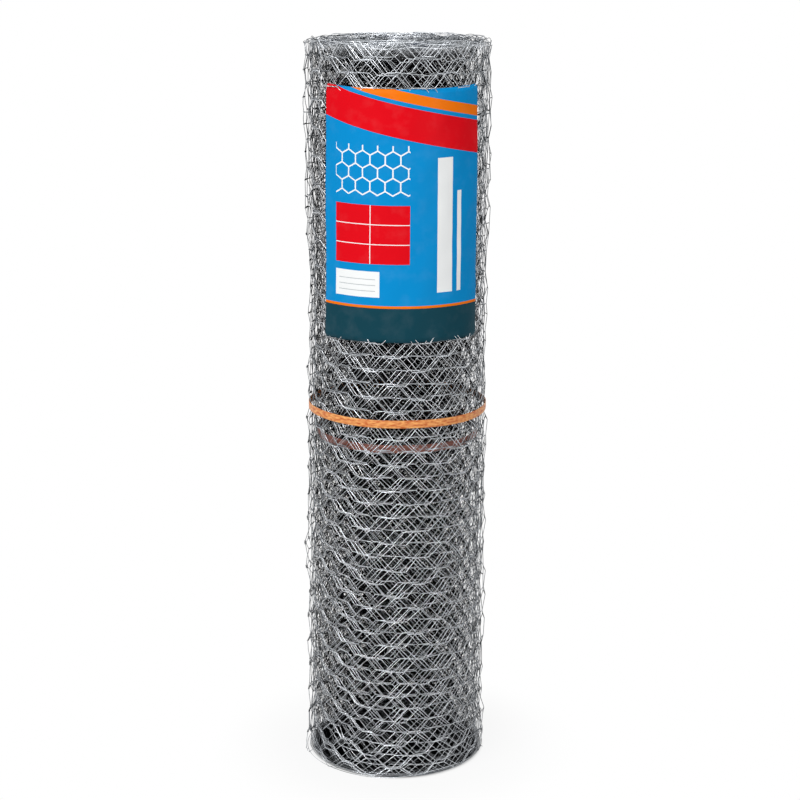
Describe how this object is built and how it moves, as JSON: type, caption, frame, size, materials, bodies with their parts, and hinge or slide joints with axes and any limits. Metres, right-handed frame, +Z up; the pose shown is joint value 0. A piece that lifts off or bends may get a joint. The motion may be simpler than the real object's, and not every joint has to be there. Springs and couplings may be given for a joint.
{
  "type": "roll of chicken wire",
  "caption": "Standing roll of galvanised hexagonal wire netting with an open centre bore, a blue label sheet and an orange strap round it; stock for coops, runs and fences.",
  "frame": {"origin": "centre of the roll's foot, on the floor and on the winding axis", "axes": "+Z up along the winding axis, -Y the front with the label, +X to the right of the label"},
  "size_m": [0.4618, 0.462, 1.8097],
  "materials": {
    "galvanised_wire": "galvanised",
    "label_sheet": "printed, satin",
    "strap_band": "embossed"
  },
  "bodies": {
    "root": {"netting_roll": "galvanised_wire", "label": "label_sheet", "outer_strap": "strap_band", "inner_strap": "strap_band"}
  },
  "joints": []
}
